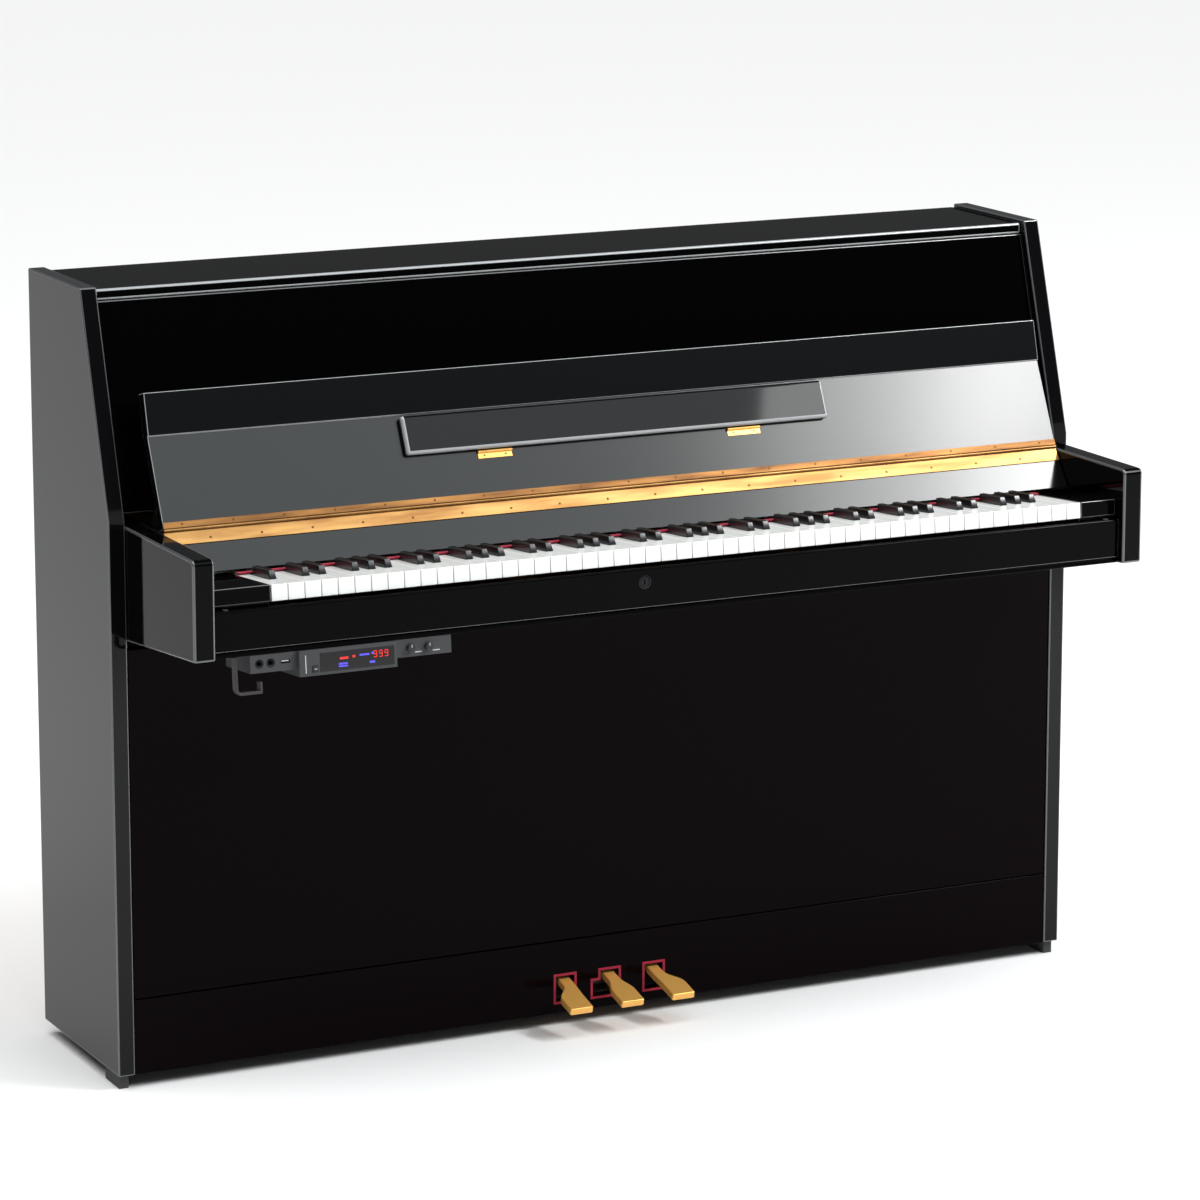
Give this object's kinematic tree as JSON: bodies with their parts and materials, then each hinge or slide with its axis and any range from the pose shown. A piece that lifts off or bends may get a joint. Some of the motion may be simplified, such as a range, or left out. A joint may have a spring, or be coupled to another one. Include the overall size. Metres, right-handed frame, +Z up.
{
  "type": "upright piano",
  "caption": "Compact upright piano in high-gloss black with a full keyboard, folding fallboard, small music desk, brass pedals and a headphone practice unit under the key bed.",
  "frame": {"origin": "centre of the bounding box, on the floor", "axes": "+Z up, -Y towards the player, +X towards the treble end"},
  "size_m": [1.485, 0.539, 1.09],
  "materials": {
    "case_ebony": "high-gloss black polyester over board, edges slightly rounded",
    "inner_black": "satin black paint",
    "bare_wood": "plain lacquered hardwood",
    "spruce": "straight-grained spruce, satin varnish",
    "key_white": "polished ivory-white resin",
    "key_black": "satin black resin",
    "brass": "polished brass",
    "plate_gold": "bronze-gold paint on cast iron",
    "string_steel": "bright drawn wire",
    "string_copper": "copper-wound wire",
    "steel": "zinc plated",
    "lock_nickel": "dark nickel",
    "rubber": "matte black",
    "white_felt": "dense felt",
    "unit_plastic": "fine-textured black moulding",
    "control_black": "satin black"
  },
  "bodies": {
    "case": {"side_panel_left": "case_ebony", "side_panel_right": "case_ebony", "front_foot_left": "rubber", "front_foot_right": "rubber", "upper_front_panel": "case_ebony", "bottom_rail": "case_ebony", "bottom_board": "inner_black", "back_frame": "bare_wood", "soundboard": "spruce", "bass_bridge": "bare_wood", "treble_bridge": "bare_wood", "iron_plate": "plate_gold", "strings_bass": "string_copper", "strings_treble": "string_steel", "rear_caster_fork_left": "steel", "rear_caster_fork_right": "steel", "key_bed": "case_ebony", "key_frame": "bare_wood", "key_block_left": "case_ebony", "key_block_right": "case_ebony", "arm_left": "case_ebony", "arm_right": "case_ebony", "key_slip": "case_ebony", "fallboard_lower": "case_ebony", "fallboard_hinge_lower": "brass", "action_rail": "bare_wood", "control_unit": "unit_plastic", "headphone_hook": "steel"},
    "top_lid": {"top_lid": "case_ebony"},
    "bottom_door": {"bottom_door": "case_ebony"},
    "fallboard": {"fallboard_leaf": "case_ebony", "fallboard_hinge_upper": "brass"},
    "music_desk": {"music_desk": "case_ebony"},
    "white_keys_1": {"white_keys_1": "key_white"},
    "white_keys_2": {"white_keys_2": "key_white"},
    "white_keys_3": {"white_keys_3": "key_white"},
    "white_keys_4": {"white_keys_4": "key_white"},
    "white_keys_5": {"white_keys_5": "key_white"},
    "white_keys_6": {"white_keys_6": "key_white"},
    "white_keys_7": {"white_keys_7": "key_white"},
    "black_keys_1": {"black_keys_1": "key_black"},
    "black_keys_2": {"black_keys_2": "key_black"},
    "black_keys_3": {"black_keys_3": "key_black"},
    "black_keys_4": {"black_keys_4": "key_black"},
    "black_keys_5": {"black_keys_5": "key_black"},
    "black_keys_6": {"black_keys_6": "key_black"},
    "black_keys_7": {"black_keys_7": "key_black"},
    "hammer_set": {"hammer_set": "white_felt"},
    "damper_set": {"damper_set": "white_felt"},
    "muffler_rail": {"muffler_rail": "white_felt"},
    "pedal_left": {"pedal_left": "brass"},
    "pedal_right": {"pedal_right": "brass"},
    "pedal_yoke": {"pedal_yoke_middle": "steel"},
    "pedal_middle": {"pedal_middle": "brass"},
    "unit_knob_1": {"unit_knob_1": "control_black"},
    "unit_knob_2": {"unit_knob_2": "control_black"},
    "unit_button": {"unit_button": "control_black"},
    "lock_cylinder": {"lock_cylinder": "lock_nickel"},
    "rear_caster_wheel_left": {"rear_caster_wheel_left": "rubber"},
    "rear_caster_wheel_right": {"rear_caster_wheel_right": "rubber"}
  },
  "joints": [
    {"name": "lid_hinge", "type": "hinge", "parent": "case", "child": "top_lid", "pos_m": [0, 0.2665, 1.0855], "axis": [-1, 0, 0], "range_deg": [0, 100]},
    {"name": "door_tilt", "type": "hinge", "parent": "case", "child": "bottom_door", "pos_m": [0, -0.0235, 0.1265], "axis": [1, 0, 0], "range_deg": [0, 20]},
    {"name": "fallboard_hinge", "type": "hinge", "parent": "case", "child": "fallboard", "pos_m": [0, -0.0855, 0.783], "axis": [1, 0, 0], "range_deg": [0, 127]},
    {"name": "music_desk_hinge", "type": "hinge", "parent": "fallboard", "child": "music_desk", "pos_m": [0, -0.06093, 0.84988], "axis": [-1, 0, 0], "range_deg": [-100, 0]},
    {"name": "white_keys_1_press", "type": "hinge", "parent": "case", "child": "white_keys_1", "pos_m": [0, -0.03417, 0.69371], "axis": [1, 0, 0], "range_deg": [0, 2.7], "stiffness_Nm_per_rad": 4, "springref_deg": -14.32},
    {"name": "white_keys_2_press", "type": "hinge", "parent": "case", "child": "white_keys_2", "pos_m": [0, -0.03417, 0.69371], "axis": [1, 0, 0], "range_deg": [0, 2.7], "stiffness_Nm_per_rad": 4, "springref_deg": -14.32},
    {"name": "white_keys_3_press", "type": "hinge", "parent": "case", "child": "white_keys_3", "pos_m": [0, -0.03417, 0.69371], "axis": [1, 0, 0], "range_deg": [0, 2.7], "stiffness_Nm_per_rad": 4, "springref_deg": -14.32},
    {"name": "white_keys_4_press", "type": "hinge", "parent": "case", "child": "white_keys_4", "pos_m": [0, -0.03417, 0.69371], "axis": [1, 0, 0], "range_deg": [0, 2.7], "stiffness_Nm_per_rad": 4, "springref_deg": -14.32},
    {"name": "white_keys_5_press", "type": "hinge", "parent": "case", "child": "white_keys_5", "pos_m": [0, -0.03417, 0.69371], "axis": [1, 0, 0], "range_deg": [0, 2.7], "stiffness_Nm_per_rad": 4, "springref_deg": -14.32},
    {"name": "white_keys_6_press", "type": "hinge", "parent": "case", "child": "white_keys_6", "pos_m": [0, -0.03417, 0.69371], "axis": [1, 0, 0], "range_deg": [0, 2.7], "stiffness_Nm_per_rad": 4, "springref_deg": -14.32},
    {"name": "white_keys_7_press", "type": "hinge", "parent": "case", "child": "white_keys_7", "pos_m": [0, -0.03417, 0.69371], "axis": [1, 0, 0], "range_deg": [0, 2.7], "stiffness_Nm_per_rad": 4, "springref_deg": -14.32},
    {"name": "black_keys_1_press", "type": "hinge", "parent": "case", "child": "black_keys_1", "pos_m": [0, -0.03417, 0.69371], "axis": [1, 0, 0], "range_deg": [0, 3.3], "stiffness_Nm_per_rad": 3, "springref_deg": -11.46},
    {"name": "black_keys_2_press", "type": "hinge", "parent": "case", "child": "black_keys_2", "pos_m": [0, -0.03417, 0.69371], "axis": [1, 0, 0], "range_deg": [0, 3.3], "stiffness_Nm_per_rad": 3, "springref_deg": -11.46},
    {"name": "black_keys_3_press", "type": "hinge", "parent": "case", "child": "black_keys_3", "pos_m": [0, -0.03417, 0.69371], "axis": [1, 0, 0], "range_deg": [0, 3.3], "stiffness_Nm_per_rad": 3, "springref_deg": -11.46},
    {"name": "black_keys_4_press", "type": "hinge", "parent": "case", "child": "black_keys_4", "pos_m": [0, -0.03417, 0.69371], "axis": [1, 0, 0], "range_deg": [0, 3.3], "stiffness_Nm_per_rad": 3, "springref_deg": -11.46},
    {"name": "black_keys_5_press", "type": "hinge", "parent": "case", "child": "black_keys_5", "pos_m": [0, -0.03417, 0.69371], "axis": [1, 0, 0], "range_deg": [0, 3.3], "stiffness_Nm_per_rad": 3, "springref_deg": -11.46},
    {"name": "black_keys_6_press", "type": "hinge", "parent": "case", "child": "black_keys_6", "pos_m": [0, -0.03417, 0.69371], "axis": [1, 0, 0], "range_deg": [0, 3.3], "stiffness_Nm_per_rad": 3, "springref_deg": -11.46},
    {"name": "black_keys_7_press", "type": "hinge", "parent": "case", "child": "black_keys_7", "pos_m": [0, -0.03417, 0.69371], "axis": [1, 0, 0], "range_deg": [0, 3.3], "stiffness_Nm_per_rad": 3, "springref_deg": -11.46},
    {"name": "pedal_left_press", "type": "hinge", "parent": "case", "child": "pedal_left", "pos_m": [-0.07, 0.0305, 0.082], "axis": [1, 0, 0], "range_deg": [0, 7], "stiffness_Nm_per_rad": 20, "springref_deg": -5.73},
    {"name": "pedal_right_press", "type": "hinge", "parent": "case", "child": "pedal_right", "pos_m": [0.07, 0.0305, 0.082], "axis": [1, 0, 0], "range_deg": [0, 7], "stiffness_Nm_per_rad": 20, "springref_deg": -5.73},
    {"name": "pedal_middle_lock", "type": "hinge", "parent": "case", "child": "pedal_yoke", "pos_m": [0, 0.0305, 0.06], "axis": [0, 0, -1], "range_deg": [0, 5]},
    {"name": "pedal_middle_press", "type": "hinge", "parent": "pedal_yoke", "child": "pedal_middle", "pos_m": [0, 0.0305, 0.082], "axis": [1, 0, 0], "range_deg": [0, 7], "stiffness_Nm_per_rad": 20, "springref_deg": -5.73},
    {"name": "hammer_half_blow", "type": "hinge", "parent": "case", "child": "hammer_set", "pos_m": [0, 0.0865, 0.76], "axis": [-1, 0, 0], "range_deg": [0, 6.1]},
    {"name": "damper_lift", "type": "hinge", "parent": "case", "child": "damper_set", "pos_m": [0, 0.1285, 0.778], "axis": [1, 0, 0], "range_deg": [0, 4.1]},
    {"name": "muffler_drop", "type": "slide", "parent": "case", "child": "muffler_rail", "axis": [0, 0, -1], "range_m": [0, 0.0555]},
    {"name": "unit_knob_1_turn", "type": "hinge", "parent": "case", "child": "unit_knob_1", "pos_m": [-0.408, -0.25524, 0.63207], "axis": [0, 0.9963, -0.0854], "range_deg": [-140, 140]},
    {"name": "unit_knob_2_turn", "type": "hinge", "parent": "case", "child": "unit_knob_2", "pos_m": [-0.382, -0.25524, 0.63207], "axis": [0, 0.9963, -0.0854], "range_deg": [-140, 140]},
    {"name": "unit_button_press", "type": "slide", "parent": "case", "child": "unit_button", "axis": [0, 0.9963, -0.0854], "range_m": [0, 0.0012], "stiffness_N_per_m": 400, "springref_m": -0.002},
    {"name": "lock_turn", "type": "hinge", "parent": "case", "child": "lock_cylinder", "pos_m": [-0.062, -0.2535, 0.688], "axis": [0, 1, 0], "range_deg": [0, 90]},
    {"name": "rear_caster_left_roll", "type": "hinge", "parent": "case", "child": "rear_caster_wheel_left", "pos_m": [-0.56, 0.2425, 0.022], "axis": [1, 0, 0], "continuous": true},
    {"name": "rear_caster_right_roll", "type": "hinge", "parent": "case", "child": "rear_caster_wheel_right", "pos_m": [0.56, 0.2425, 0.022], "axis": [1, 0, 0], "continuous": true}
  ],
  "couplings": [
    {"joint": "hammer_half_blow", "follows": "pedal_left_press", "ratio": 0.857},
    {"joint": "damper_lift", "follows": "pedal_right_press", "ratio": 0.571},
    {"joint": "muffler_drop", "follows": "pedal_middle_press", "m_per_rad": 0.45}
  ]
}
